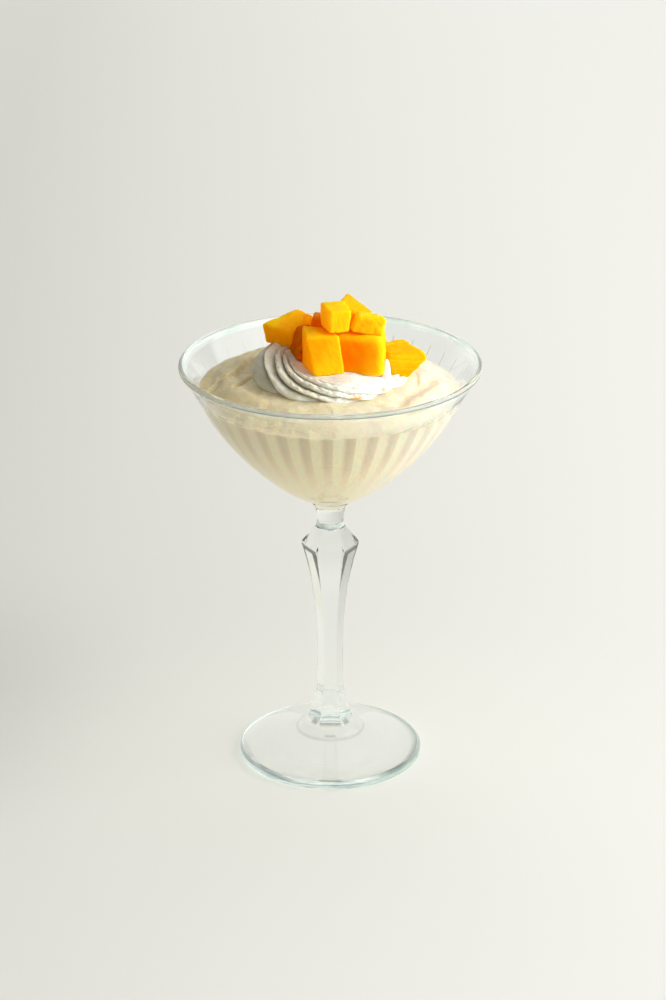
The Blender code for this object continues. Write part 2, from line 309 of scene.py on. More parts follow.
def painted_dark_reflection_material():
    """Painted reflection: opaque dark glass where a facet of the stem mirrors the dark side of the room."""
    mat, nt, bsdf, out = new_material("glass_painted_dark_reflection")
    shade_noise = noise_tex(nt, coords(nt), 300.0, 2.0, 0.5)
    nt.links.new(ramp(nt, shade_noise, [(0.35, (0.05, 0.06, 0.055)), (0.65, (0.16, 0.17, 0.16))]), bsdf.inputs["Base Color"])
    bsdf.inputs["Roughness"].default_value = 0.25
    bsdf.inputs["IOR"].default_value = 1.51
    return mat


def mousse_material():
    mat, nt, bsdf, out = new_material("mango_mousse")
    vec = coords(nt)
    sep = nt.nodes.new("ShaderNodeSeparateXYZ")
    nt.links.new(vec, sep.inputs[0])
    broad = noise_tex(nt, vec, 120.0, 5.0, 0.72)
    # painted shade and light: the top darker to the left, in the shade of the cream, and paler to the right
    painted_shade = ramp(nt, broad, [(0.3, (0.67, 0.555, 0.285)), (0.7, (0.775, 0.655, 0.375))])
    light = ramp(nt, broad, [(0.3, (0.93, 0.85, 0.64)), (0.7, (0.97, 0.92, 0.77))])
    colour = mix_colour(nt, map_range(nt, sep.outputs["X"], -0.032, 0.036, 0.0, 1.0), painted_shade, light)
    # pressed against the glass the foam is closed and paler, partly its own colour and partly painted light, paler to
    # the right; an emission, a painted light, stands in for the light the glass carries round to it, strongest low down
    wall = nt.nodes.new("ShaderNodeAttribute")
    wall.attribute_name = "wall"
    closed = mix_colour(nt, map_range(nt, sep.outputs["X"], 0.005, 0.035, 0.0, 1.0), (0.98, 0.87, 0.645), (0.96, 0.89, 0.76))
    colour = mix_colour(nt, wall.outputs["Fac"], colour, closed)
    # painted shade: dark stripes on the flutes, on each flute's side turned from the light
    painted_flute_shade = nt.nodes.new("ShaderNodeAttribute")
    painted_flute_shade.attribute_name = "painted_flute_shade"
    colour = mix_colour(nt, painted_flute_shade.outputs["Fac"], colour, (0.0, 0.0, 0.0))
    nt.links.new(colour, bsdf.inputs["Base Color"])
    bsdf.inputs["Emission Color"].default_value = (1.0, 0.80, 0.45, 1)
    painted_glow = map_range(nt, sep.outputs["Z"], 0.104, 0.138, 0.22, 0.08)
    # painted light: an emission on the open top towards the right
    painted_sunlight = map_range(nt, sep.outputs["X"], 0.016, 0.036, 0.0, 0.085)
    painted_sunlight = math_node(nt, "MULTIPLY", math_node(nt, "SUBTRACT", 1.0, wall.outputs["Fac"]), painted_sunlight)
    nt.links.new(math_node(nt, "ADD", math_node(nt, "MULTIPLY", wall.outputs["Fac"], painted_glow), painted_sunlight), bsdf.inputs["Emission Strength"])
    rough = map_range(nt, noise_tex(nt, vec, 160.0, 3.0), 0.3, 0.7, 0.34, 0.5)
    nt.links.new(rough, bsdf.inputs["Roughness"])
    bsdf.inputs["IOR"].default_value = 1.38
    bsdf.inputs["Subsurface Weight"].default_value = 1.0
    bsdf.inputs["Subsurface Radius"].default_value = (1.0, 0.7, 0.35)
    bsdf.inputs["Subsurface Scale"].default_value = 0.0012
    fine = noise_tex(nt, vec, 900.0, 3.0, 0.6)
    soft = noise_tex(nt, vec, 260.0, 3.0, 0.5)
    height = math_node(nt, "ADD", math_node(nt, "MULTIPLY", fine, 0.35), soft)
    bump(nt, bsdf, height, 0.55, 0.0012)
    return mat


def cream_material():
    mat, nt, bsdf, out = new_material("whipped_cream")
    vec = coords(nt)
    sep = nt.nodes.new("ShaderNodeSeparateXYZ")
    nt.links.new(vec, sep.inputs[0])
    broad = noise_tex(nt, vec, 220.0, 4.0, 0.65)
    # painted shade and light: darker to the left and paler to the right
    painted_shade = ramp(nt, broad, [(0.35, (0.74, 0.70, 0.54)), (0.65, (0.87, 0.83, 0.67))])
    light = ramp(nt, broad, [(0.35, (0.95, 0.94, 0.84)), (0.65, (0.98, 0.975, 0.90))])
    colour = mix_colour(nt, map_range(nt, sep.outputs["X"], -0.013, 0.009, 0.0, 1.0), painted_shade, light)
    juice = nt.nodes.new("ShaderNodeAttribute")
    juice.attribute_name = "juice"
    # painted shade in the valleys between the ridges
    painted_valley_shade = nt.nodes.new("ShaderNodeAttribute")
    painted_valley_shade.attribute_name = "valley"
    colour = mix_colour(nt, painted_valley_shade.outputs["Fac"], colour, (0.24, 0.20, 0.11))
    colour = mix_colour(nt, juice.outputs["Fac"], colour, (0.80, 0.42, 0.03))
    nt.links.new(colour, bsdf.inputs["Base Color"])
    # painted light: an emission, stronger to the right and on the crests of the front ridges, none on the juice
    bsdf.inputs["Emission Color"].default_value = (1.0, 0.985, 0.91, 1)
    crest = nt.nodes.new("ShaderNodeAttribute")
    crest.attribute_name = "crest"
    painted_glow = map_range(nt, sep.outputs["X"], -0.006, 0.010, 0.0, 0.09)
    painted_glow = math_node(nt, "ADD", painted_glow, math_node(nt, "MULTIPLY", crest.outputs["Fac"], 0.09))
    dry = math_node(nt, "SUBTRACT", 1.0, juice.outputs["Fac"])
    nt.links.new(math_node(nt, "MULTIPLY", dry, painted_glow), bsdf.inputs["Emission Strength"])
    rough = map_range(nt, noise_tex(nt, vec, 400.0, 3.0), 0.3, 0.7, 0.4, 0.6)
    nt.links.new(rough, bsdf.inputs["Roughness"])
    bsdf.inputs["IOR"].default_value = 1.36
    bsdf.inputs["Subsurface Weight"].default_value = 1.0
    bsdf.inputs["Subsurface Radius"].default_value = (1.0, 0.8, 0.55)
    bsdf.inputs["Subsurface Scale"].default_value = 0.0011
    fine = noise_tex(nt, vec, 1100.0, 4.0, 0.65)
    soft = noise_tex(nt, vec, 420.0, 3.0, 0.5)
    height = math_node(nt, "ADD", math_node(nt, "MULTIPLY", fine, 1.0), soft)
    bump(nt, bsdf, height, 0.65, 0.0010)
    return mat


def mango_material():
    mat, nt, bsdf, out = new_material("ripe_mango")
    vec = coords(nt)
    tone = nt.nodes.new("ShaderNodeAttribute")
    tone.attribute_name = "tone"
    cloud = noise_tex(nt, vec, 150.0, 3.0, 0.5)
    fac = math_node(nt, "ADD", tone.outputs["Fac"], math_node(nt, "MULTIPLY", math_node(nt, "SUBTRACT", cloud, 0.5), 0.5))
    colour = ramp(nt, fac, [(0.0, (0.95, 0.19, 0.0005)), (0.35, (0.97, 0.33, 0.0015)), (0.7, (0.98, 0.50, 0.006)), (1.0, (0.99, 0.62, 0.009))])
    # a brown mark where the skin was, and painted shade darkening two pieces that lie in shade
    skin_mark_and_shade = nt.nodes.new("ShaderNodeAttribute")
    skin_mark_and_shade.attribute_name = "skin_mark_and_shade"
    colour = mix_colour(nt, skin_mark_and_shade.outputs["Fac"], colour, (0.32, 0.045, 0.001))
    # fibres run along the fruit
    along = nt.nodes.new("ShaderNodeMapping")
    along.inputs["Scale"].default_value = (1.0, 1.0, 0.16)
    fibre_dir = nt.nodes.new("ShaderNodeAttribute")
    fibre_dir.attribute_name = "grain"
    nt.links.new(fibre_dir.outputs["Vector"], along.inputs["Vector"])
    fibre = noise_tex(nt, along.outputs["Vector"], 1300.0, 4.0, 0.6, 0.6)
    coarse = noise_tex(nt, along.outputs["Vector"], 420.0, 3.0, 0.5, 0.4)
    pale = mix_colour(nt, map_range(nt, fibre, 0.52, 0.72, 0.0, 0.22), colour, (0.97, 0.60, 0.009))
    nt.links.new(pale, bsdf.inputs["Base Color"])
    rough = map_range(nt, coarse, 0.3, 0.7, 0.3, 0.5)
    nt.links.new(rough, bsdf.inputs["Roughness"])
    bsdf.inputs["IOR"].default_value = 1.12
    bsdf.inputs["Specular IOR Level"].default_value = 0.06
    # painted light: an orange emission on all the mango, more on the left faces of two front pieces, less on two pieces
    # in shade
    bsdf.inputs["Emission Color"].default_value = (1.0, 0.17, 0.0, 1)
    painted_face_glow = nt.nodes.new("ShaderNodeAttribute")
    painted_face_glow.attribute_name = "painted_face_glow"
    nt.links.new(math_node(nt, "ADD", math_node(nt, "MULTIPLY", painted_face_glow.outputs["Fac"], 0.25), 0.11), bsdf.inputs["Emission Strength"])
    bsdf.inputs["Subsurface Weight"].default_value = 1.0
    bsdf.inputs["Subsurface Radius"].default_value = (1.0, 0.32, 0.04)
    bsdf.inputs["Subsurface Scale"].default_value = 0.008
    height = math_node(nt, "ADD", math_node(nt, "MULTIPLY", fibre, 0.6), coarse)
    bump(nt, bsdf, height, 0.4, 0.0007)
    return mat


def floor_material():
    mat, nt, bsdf, out = new_material("studio_floor")
    sep = nt.nodes.new("ShaderNodeSeparateXYZ")
    nt.links.new(coords(nt), sep.inputs[0])
    # painted light and shade: the floor is darker to the left and paler towards the front and the right
    near = map_range(nt, sep.outputs["Y"], -0.25, 0.05, 0.07, 0.0)
    across = map_range(nt, math_node(nt, "ADD", sep.outputs["X"], near), -0.2, 0.14, 0.0, 1.0)
    colour = ramp(nt, across, [(0.0, (0.667, 0.667, 0.628)), (0.3, (0.755, 0.755, 0.714)), (0.65, (0.825, 0.825, 0.786)), (1.0, (0.865, 0.865, 0.829))])
    nt.links.new(colour, bsdf.inputs["Base Color"])
    bsdf.inputs["Roughness"].default_value = 0.9
    bsdf.inputs["Specular IOR Level"].default_value = 0.1
    bsdf.inputs["Emission Color"].default_value = (1.0, 1.0, 0.97, 1)
    # painted light: an emission brightening the floor far behind
    far = map_range(nt, sep.outputs["Y"], 0.1, 1.2, 0.0, 0.17)
    nt.links.new(far, bsdf.inputs["Emission Strength"])
    return mat


# ------------------------------------------------------------------ glass
def hex_radius(corner, a, hexness, rounding=0.6):
    """A hexagon with its corners at 0, 60, 120 degrees and so on, slightly rounded, blended with a circle."""
    inside = abs((a + math.pi / 6) % (math.pi / 3) - math.pi / 6)  # from the nearest corner
    flat = corner * math.cos(math.pi / 6)
    hexagon = flat / math.cos(math.pi / 6 - inside)
    if rounding > 0:  # a circle of this radius in each corner
        reach = rounding * math.tan(math.pi / 6)
        centre = corner - rounding / math.cos(math.pi / 6)
        # direction at which the round takes over
        limit = math.atan2(reach, corner) if corner else 0
        end = math.atan2(centre * 0 + rounding * math.sin(math.pi / 6), centre + rounding * math.cos(math.pi / 6))
        if inside < end:
            s = math.sin(inside)
            hexagon = centre * math.cos(inside) + math.sqrt(max(0.0, rounding**2 - (centre * s) ** 2))
    circle = corner * (1 - 0.06 * hexness)
    return mix(circle, hexagon, hexness)


STEM = (
    # z, corner radius, hexness, rounding of the corners
    (98.4, 6.7, 0.0, 0.5),
    (97.9, 6.75, 0.0, 0.5),
    (97.3, 6.45, 0.0, 0.5),
    (96.6, 5.75, 0.0, 0.5),
    (95.6, 5.2, 0.0, 0.5),
    (93.6, 4.95, 0.0, 0.5),
    (91.8, 4.75, 0.0, 0.5),
    (90.7, 4.7, 0.0, 0.5),
    (89.8, 4.8, 0.2, 0.8),
    (88.8, 5.3, 0.7, 0.8),
    (87.4, 6.35, 0.92, 0.6),
    (85.2, 8.1, 1.0, 0.5),
    (83.4, 9.6, 1.0, 0.45),
    (82.75, 10.05, 1.0, 0.45),
    (82.3, 10.25, 1.0, 0.45),
    (81.85, 10.2, 1.0, 0.45),
    (81.2, 10.0, 1.0, 0.45),
    (79.4, 9.5, 1.0, 0.5),
    (74.4, 8.2, 1.0, 0.5),
    (68.0, 6.9, 1.0, 0.5),
    (60.0, 5.75, 1.0, 0.5),
    (50.0, 4.9, 1.0, 0.5),
    (38.0, 4.65, 1.0, 0.5),
    (28.0, 4.8, 1.0, 0.5),
    (21.0, 5.8, 1.0, 0.5),
    (17.4, 6.8, 1.0, 0.5),
    (15.0, 7.6, 1.0, 0.5),
    (14.2, 7.95, 1.0, 0.5),
    (13.75, 8.25, 0.9, 0.5),
    (13.3, 8.65, 0.6, 0.6),
    (12.8, 9.15, 0.3, 0.8),
    (12.1, 9.85, 0.0, 1.0),
    (11.4, 10.65, 0.0, 1.0),
    (10.7, 11.35, 0.0, 1.0),
    (10.15, 11.75, 0.0, 1.0),
    (9.75, 11.95, 0.0, 1.0),
    (9.45, 12.2, 0.0, 1.0),
    (9.2, 12.7, 0.0, 1.0),
    (8.85, 13.7, 0.0, 1.0),
    (8.0, 16.4, 0.0, 1.0),
    (6.9, 20.0, 0.0, 1.0),
    (5.7, 24.0, 0.0, 1.0),
    (4.7, 27.2, 0.0, 1.0),
    (3.95, 29.4, 0.0, 1.0),
    (3.6, 30.4, 0.0, 1.0),
)


def resample(stations, step):
    """Finer stations between those given, on smooth curves of height."""
    zs = [s[0] for s in stations]
    tracks = [[(-s[0], s[k]) for s in stations] for k in (1, 2, 3)]
    out = []
    for a, b in zip(zs, zs[1:]):
        # by distance along the profile
        ra, rb = monotone(tracks[0], -a), monotone(tracks[0], -b)
        n = max(1, int(math.hypot(a - b, ra - rb) / step + 0.5))
        out += [a + (b - a) * i / n for i in range(n)]
    out.append(zs[-1])
    return [(z, monotone(tracks[0], -z), min(1, max(0, monotone(tracks[1], -z))), monotone(tracks[2], -z)) for z in out]


def glass_colour_and_painted_shade(z, a, r):
    """Colour of the glass: its own faint green, with painted reflections where its facets catch dark or tinted
    reflections, and painted shade on parts of the stem and foot. The angle is in degrees.
    """
    b = -abs(a)
    beside = b + 60 if b > -60 else (-120 - b if b < -120 else -1.0)  # degrees outward of the nearest front or back edge
    outline = min(-b, 180 + b)  # degrees from either side
    dark = 0.0
    # painted reflections: dark lines down the stem's facet edges, at the knob's corners, round the neck and at the
    # stem's base, weaker at the back
    if 62 < z < 82.2 and beside >= -0.5:
        width = 4.0 + 17.0 * smooth((z - 64) / 17)
        dark = max(dark, smooth((width - beside) / 5.0) * smooth((z - 62) / 10) * smooth((82.2 - z) / 0.5))
        dark = max(dark, smooth((z - 79.4) / 0.7) * smooth((82.1 - z) / 0.4))
        dark = max(dark, 0.9 * smooth((10 - outline) / 5) * smooth((z - 64) / 12))
        if abs(a) < 60:
            dark = max(dark, 0.16 * smooth((z - 62) / 10))
    if 82.2 < z < 86.2:
        dark = max(dark, 0.97 * smooth((11 - outline) / 5) * smooth((z - 82.6) / 0.4) * smooth((85.8 - z) / 1.2))
    if 92.6 < z < 97.0:
        width = 4.0 + 30.0 * smooth((z - 92.8) / 3.6)
        dark = max(dark, 0.97 * smooth((width - outline) / 7) * smooth((z - 92.8) / 1.0) * smooth((96.6 - z) / 0.4))
    front = abs(a + 90)
    if 13.6 < z < 13.9:
        dark = max(dark, 0.15 if a > 0 else 0.3, 0.85 * smooth((29 - front) / 4))
    if 13.2 < z < 13.4 and front < 29:
        dark = max(dark, 0.5 * smooth((29 - front) / 4))
    if 13.2 < z < 14.5 and 34 < front < 62:
        dark = max(dark, 0.7 * smooth((front - 34) / 6) * smooth((62 - front) / 8))
    if 10.2 < z < 11.3 and front < 14 and r < 13:
        dark = max(dark, 0.55 * smooth((14 - front) / 7) * smooth((z - 10.2) / 0.3) * smooth((11.3 - z) / 0.4))
    if 9.3 < z < 10.2 and r < 13:
        dark = max(dark, 0.3 * smooth((z - 9.3) / 0.2) * smooth((10.2 - z) / 0.5))
    if a > 0 and 60 < z < 83:
        dark *= 0.35
    colour = [mix(w, c, dark) for w, c in zip((0.985, 1.0, 0.994), (0.02, 0.025, 0.02))]
    # painted reflection: warmer along the stem's outline
    if 50 < z < 82.2 and abs(a) > 118:
        warm = smooth((z - 50) / 12) * smooth((abs(a) - 118) / 4)
        colour = [c * mix(1.0, t, warm) for c, t in zip(colour, (0.84, 0.82, 0.72))]
    # painted shade: the foot round the stem dimmed over its bright refractions, darker to the left
    if 3.2 < z < 13.7 and r > 8.3:
        left = smooth((10 - r * math.cos(math.radians(a))) / 34)
        soft = smooth((r - 8.3) / 0.8)
        near = smooth((18 - r) / 6)
        colour = [c * mix(1.0, mix(t, t * n, near) * mix(1.0, 0.955, left), soft) for c, t, n in zip(colour, (0.865, 0.855, 0.855), (0.97, 0.97, 0.97))]
    # painted shade: the foot's edge darker green towards the right
    if z < 3.4 and r > FOOT_R - 2.4:
        side = smooth((r * math.cos(math.radians(a)) - 10) / 14)
        colour = [c * mix(1.0, t, side) for c, t in zip(colour, (0.66, 0.72, 0.68))]
    # painted shade: the upper stem, the knob and the neck darkened
    if 90.5 < z < 96.2:
        colour = [c * 0.93 for c in colour]
    elif 68 < z < 90.5:
        colour = [c * (1 - 0.09 * smooth((z - 70) / 10)) for c in colour]
    # painted shade: a thin dark arc on the front of the foot's edge
    if 30.5 < r < 31.9 and 2.9 < z < 4 and abs(a + 90) < 9:
        colour = [mix(c, t, 0.85 * smooth((9 - abs(a + 90)) / 3)) for c, t in zip(colour, (0.12, 0.12, 0.09))]
    # painted reflection of the mousse: a pale olive band and a grey line at the top of the stem
    if 96.4 < z < 99.6 and r < 9:
        pale = smooth((z - 96.4) / 0.6)
        colour = [mix(c, t, pale) for c, t in zip(colour, (0.80, 0.78, 0.60))]
        line = smooth((z - 98.5) / 0.3) * smooth((99.5 - z) / 0.3)
        colour = [mix(c, t, 0.75 * line) for c, t in zip(colour, (0.42, 0.42, 0.34))]
    return colour


def make_glass():
    rings = []
    # inside, from the bottom up
    zs = [BOWL_BOTTOM + 0.05, 102.3, 102.7, 103.2, 103.8, 104.5, 105.3, 106.2, 107.0, 107.6, 108.2, 108.8, 109.5, 110.2, 111.2]
    zs += [112.5 + 1.6 * i for i in range(19)]
    zs += [142.0, 142.7, 143.1, 143.5, 143.9, 144.3, 144.7, 145.4, 146.2, 147.0, 147.9]
    for z in zs:
        rings.append([(wall_radius(z, k) * math.cos(a), wall_radius(z, k) * math.sin(a), z) for k, a in enumerate(ANGLES)])
    middle = RIM_R - WALL / 2
    for degrees in (172, 155, 135, 112, 90, 68, 45, 22, 0, -18):
        t = math.radians(degrees)
        r = middle + WALL / 2 * math.cos(t)
        z = GLASS_H - RIM_BEAD + RIM_BEAD * math.sin(t)
        rings.append([(r * math.cos(a), r * math.sin(a), z) for a in ANGLES])
    z = 147.6
    outer = []
    while z > 99.0:
        outer.append(z)
        z -= 1.5 if z > 108 else 1.0
    for z in outer + [98.8]:
        rings.append([(bowl_outer(z) * math.cos(a), bowl_outer(z) * math.sin(a), z) for a in ANGLES])
    for z, r, h, c in resample(STEM, 1.1):
        rings.append([(hex_radius(r, a, h, c) * math.cos(a), hex_radius(r, a, h, c) * math.sin(a), z) for a in ANGLES])
    half = FOOT_EDGE / 2
    for degrees in (75, 55, 35, 15, -5, -25, -45, -65, -82):
        t = math.radians(degrees)
        r, z = FOOT_R - half + half * math.cos(t), half + half * math.sin(t)
        rings.append([(r * math.cos(a), r * math.sin(a), z) for a in ANGLES])
    land = FOOT_R - half * 1.1
    for r, z in ((land, 0.0), (land - FOOT_LAND, 0.0), (land - FOOT_LAND - 0.4, 0.05)):
        rings.append([(r * math.cos(a), r * math.sin(a), z) for a in ANGLES])
    for i in range(1, 12):
        share = 1 - i / 12
        r = (land - FOOT_LAND - 0.4) * share
        z = 0.05 + (FOOT_HOLLOW - 0.05) * (1 - share**2)
        rings.append([(r * math.cos(a), r * math.sin(a), z) for a in ANGLES])
    obj = grid_mesh("coupe_glass", rings, (0, 0, BOWL_BOTTOM), (0, 0, FOOT_HOLLOW))
    values = [1.0] * (4 * len(obj.data.vertices))
    for i, v in enumerate(obj.data.vertices):
        x, y, z = v.co / MM
        a = math.degrees(math.atan2(y, x))
        colour = glass_colour_and_painted_shade(z, a, math.hypot(x, y))
        # painted shade: thin dark lines down the flute creases of the far wall above the mousse
        if len(zs) * AROUND > i and i % AROUND % PER_FLUTE == 0 and z > 138:
            far = 0.35 + 0.65 * smooth((math.cos(math.radians(a - 30)) + 0.1) / 0.7)
            dark = 0.9 * far * smooth((z - 138.5) / 1.0) * smooth((145.2 - z) / 1.2) * smooth((math.sin(math.radians(a)) + 0.25) / 0.3)
            colour = [mix(1.0, c, dark) for c in (0.45, 0.46, 0.44)]
        values[4 * i : 4 * i + 3] = colour
    tint = obj.data.attributes.new("tint", "FLOAT_COLOR", "POINT")
    tint.data.foreach_set("color", values)
    outward(obj)
    shade(obj, 24)
    return obj


# ------------------------------------------------------------------ mousse
# furrows left by the spoon: points on the line, width, depth, height of the lip beside it, all mm
FOLDS = (
    (((-36.1, -0.5), (-35.1, 0.5), (-33.1, 3.5), (-30.8, 10.6), (-29.6, 16.7)), 0.8, 0.9, 0.55),
    (((-32.3, -10.3), (-31.0, -6.4), (-29.1, -2.4), (-27.1, 0.5)), 0.9, 1.0, 0.3),
    (((-40.4, -5.8), (-39.1, -3.8), (-37.5, 1.2)), 1.3, 1.0, 0.3),
    (((-27.9, 18.4), (-27.4, 12.0), (-27.2, 6.1)), 1.5, 1.1, 0.0),
    (((-24.6, -16.3), (-23.4, -11.4)), 1.2, 0.5, 0.0),
    (((23.3, -23.0), (25.8, -15.3), (28.0, -12.4), (33.7, -5.5), (36.0, 3.0)), 2.6, 0.6, 0.5),
    (((38.3, 8.5), (35.0, 14.6), (31.6, 18.7)), 2.2, 0.5, 0.3),
    (((10.0, 36.0), (18.0, 31.0), (25.0, 26.0)), 2.0, 0.9, 0.5),
    (((-22.0, 28.0), (-12.0, 33.0), (-2.0, 36.0)), 1.8, 0.9, 0.5),
    (((-36.0, 10.0), (-33.0, 20.0), (-26.0, 28.0)), 1.6, 0.8, 0.4),
)


def segment_distance(x, y, p, q):
    dx, dy = q[0] - p[0], q[1] - p[1]
    t = min(1.0, max(0.0, ((x - p[0]) * dx + (y - p[1]) * dy) / (dx * dx + dy * dy)))
    return math.hypot(x - p[0] - t * dx, y - p[1] - t * dy)


def mousse_top(r, a):
    edge = bowl_inner(FILL_Z)
    x, y = r * math.cos(a), r * math.sin(a)
    wall_z = FILL_Z + 0.9 * math.cos(a - math.radians(135)) * smooth((r - 26) / 14)
    rise = MOUSSE_RISE * smooth((edge - r) / 9.0)
    out = smooth((r - 23) / 5)
    # spooned folds that wrap round the cream, deeper on the left
    left = smooth((math.cos(a - math.radians(185)) + 0.2) / 1.2)
    swirl = math.sin((r - 24) * 0.62 + 2.2 * a + 0.8 * fbm((x, y, 0), 14, 2, 5.0))
    folds = (0.12 + 0.3 * left) * swirl * out * smooth((edge - r) / 3.5)
    lumps = 0.55 * fbm((x, y, 0), 11, 3, 3.0) + 0.16 * fbm((x, y, 0), 3.2, 3, 8.0)
    dents = 0.0
    if r > 22:
        for line, width, depth, lip in FOLDS:
            d = min(segment_distance(x, y, p, q) for p, q in zip(line, line[1:]))
            if d < width * 4:
                inside = 1.0 if r > math.hypot(*line[len(line) // 2]) else -1.0
                dents += lip * math.exp(-((d - 1.6 * width) / width) ** 2) * (0.5 + 0.5 * inside) - depth * math.exp(-((d / width) ** 2))
    # it swells against the cream in front on the left
    turn = math.degrees(math.atan2(y, x))
    swell = 1.5 * smooth((r - 17) / 6) * smooth((37 - r) / 11) * smooth((turn + 185) / 25) * smooth((-55 - turn) / 40)
    return wall_z + rise + swell + folds + (lumps + dents) * out * smooth((edge - r) / 2.0 + 0.25)


def make_mousse():
    rings = []
    reach = 0.28  # into the glass
    radii = [3.0 * i for i in range(1, 7)] + [19.5 + 0.5 * i for i in range(48)]
    edge = bowl_inner(FILL_Z)
    radii = [r for r in radii if r < edge - 0.5] + [edge - 0.42, edge - 0.2]
    for r in radii:
        rings.append([(r * math.cos(a), r * math.sin(a), mousse_top(r, a)) for a in ANGLES])
    # where it meets the glass, the line wanders a little
    tops = [mousse_top(edge, a) + 0.35 * fbm((edge * math.cos(a), edge * math.sin(a), 0), 6, 3, 2.0) for a in ANGLES]
    rings.append([((wall_radius(t, k) + reach) * math.cos(a), (wall_radius(t, k) + reach) * math.sin(a), t) for k, (a, t) in enumerate(zip(ANGLES, tops))])
    low = 137.4
    for i in range(1, 4):
        row = []
        for k, a in enumerate(ANGLES):
            z = mix(tops[k], low, i / 4)
            r = wall_radius(z, k) + reach
            row.append((r * math.cos(a), r * math.sin(a), z))
        rings.append(row)
    zs = [low - 1.6 * i for i in range(16)]
    zs = [z for z in zs if z > 112] + [111.2, 110.2, 109.5, 108.8, 108.2, 107.6, 107.0, 106.2, 105.3, 104.5, 103.8, 103.2, 102.7, 102.3]
    for z in zs:
        rings.append([((wall_radius(z, k) + reach) * math.cos(a), (wall_radius(z, k) + reach) * math.sin(a), z) for k, a in enumerate(ANGLES)])
    obj = grid_mesh("mango_mousse", rings, (0, 0, mousse_top(0, 0)), (0, 0, BOWL_BOTTOM - 0.2))
    wall = obj.data.attributes.new("wall", "FLOAT", "POINT")
    first = len(radii)
    values = [0.0] * len(obj.data.vertices)
    for i in range(first * AROUND, len(values)):
        values[i] = 1.0
    values[-2] = 0.0
    wall.data.foreach_set("value", values)
    # painted shade of the flutes: on each flute, the half that faces away from the light on the right is darker, most
    # at the front and back
    painted_flute_shade = obj.data.attributes.new("painted_flute_shade", "FLOAT", "POINT")
    painted_flute_shades = [0.0] * len(values)
    for i in range(first * AROUND, len(values) - 2):
        k = i % AROUND
        z = obj.data.vertices[i].co.z / MM
        s, a = FLUTE_STEPS[k % PER_FLUTE], ANGLES[k]
        if math.sin(a) > 0:
            s = 1 - s if s > 0 else 0.0
        dark = smooth((s - 0.42) / 0.14) * mix(1.0, 0.6, smooth((s - 0.6) / 0.4))
        painted_flute_shades[i] = 0.26 * dark * (0.25 + 0.75 * math.sin(a) ** 2) * smooth((z - 112) / 20) * smooth((FILL_Z + 0.6 - z) / 1.2)
    painted_flute_shade.data.foreach_set("value", painted_flute_shades)
    outward(obj)
    shade(obj)
    return obj


# ------------------------------------------------------------------ cream
CREAM_RING = 15.0
# valleys between the ridges at the hem, degrees round the ring, and for each ridge after its valley:
# how far it stands out (mm), where its crest lies between its valleys, how grainy it is, and the share
# of the way from the middle to the hem at which it has grown to its full height
RIDGES = (
    (-179.0, 2.5, 0.50, 0.2, 0.30),
    (-136.0, 2.9, 0.30, 0.5, 0.30),
    (-103.0, 2.7, 0.40, 1.6, 0.32),
    (-80.0, 2.4, 0.42, 2.1, 0.34),
    (-58.0, 1.6, 0.45, 1.9, 0.42),
    (-37.0, 0.9, 0.45, 0.7, 0.60),
    (-16.0, 0.8, 0.45, 0.5, 0.60),
    (6.0, 0.5, 0.40, 0.4, 0.50),
    (28.0, 1.1, 0.38, 0.4, 0.40),
    (54.0, 1.8, 0.40, 0.5, 0.30),
    (80.0, 2.6, 0.38, 0.5, 0.30),
    (106.0, 2.4, 0.40, 0.5, 0.30),
    (131.0, 2.6, 0.36, 0.5, 0.30),
    (156.0, 2.3, 0.40, 0.4, 0.30),
)
# how far round each ridge has still to go at this share of the way from the middle to the hem, degrees
TWIST = ((0.0, -170.0), (0.1, -157.0), (0.2, -136.0), (0.3, -104.0), (0.36, -83.0), (0.4, -71.0), (0.5, -48.0), (0.6, -31.0), (0.7, -15.5), (0.8, 0.0), (0.9, 10.0), (1.0, 15.0))
TWIST_LEFT = ((0.0, -170.0), (0.2, -140.0), (0.3, -118.0), (0.4, -82.0), (0.5, -50.0), (0.54, -33.0), (0.61, -17.0), (0.7, -7.0), (0.8, 0.0), (0.9, 8.0), (1.0, 12.0))
# height of the ring's crown round it: degrees, mm
CROWN = ((-180, 10.0), (-150, 8.6), (-120, 6.9), (-90, 6.6), (-60, 6.2), (-34, 4.5), (-14, 1.9), (-5, 1.7), (25, 3.4), (60, 6.8), (90, 8.2), (120, 9.2), (150, 10.4), (180, 10.0))
# small peaks left by the nozzle and the spoon: x, y, width, rise, all mm
PEAKS = ((19.2, -6.6, 1.5, 7.0), (-15.6, 5.6, 1.5, 1.6), (7.2, -16.6, 2.6, 1.0), (16.0, 14.0, 3.0, 1.5))


